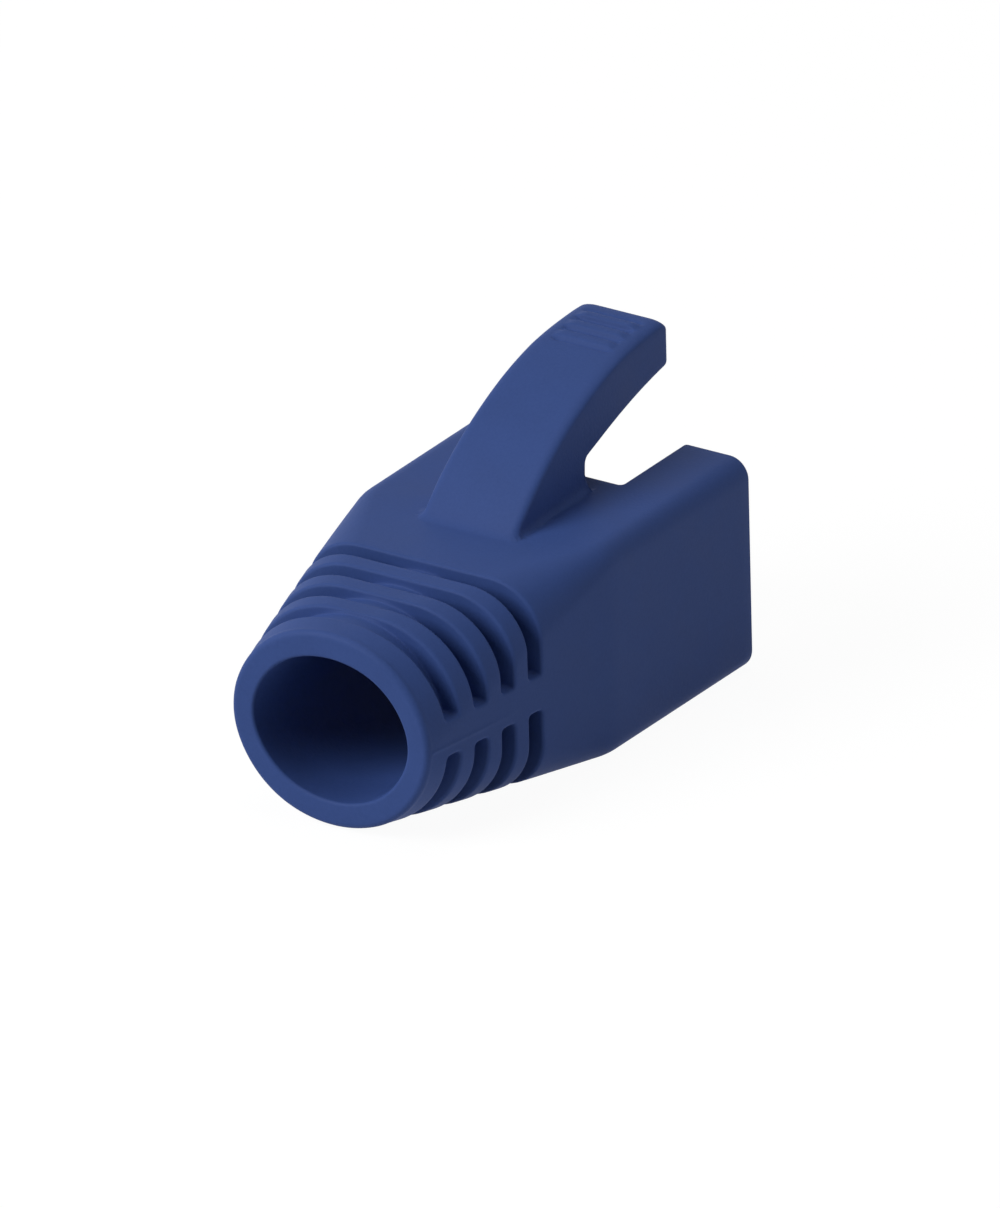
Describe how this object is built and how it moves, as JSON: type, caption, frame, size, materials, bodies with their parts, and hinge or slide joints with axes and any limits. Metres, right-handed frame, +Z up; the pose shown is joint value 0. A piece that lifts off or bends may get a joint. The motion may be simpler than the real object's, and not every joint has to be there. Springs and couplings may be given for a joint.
{
  "type": "rj45 strain relief boot",
  "caption": "Snagless strain relief boot for a modular network plug: square sleeve, grooved neck with an oval cable mouth, and a curved lever over the latch notch.",
  "frame": {"origin": "on the table under the middle of the boot", "axes": "+Z up through the lever, +Y along the cable from the oval mouth towards the plug end, +X across"},
  "size_m": [0.0136, 0.025, 0.0162],
  "materials": {
    "blue_soft_plastic": "soft moulded plastic, matte, dark blue"
  },
  "bodies": {
    "root": {"strain_relief_boot": "blue_soft_plastic"}
  },
  "joints": []
}
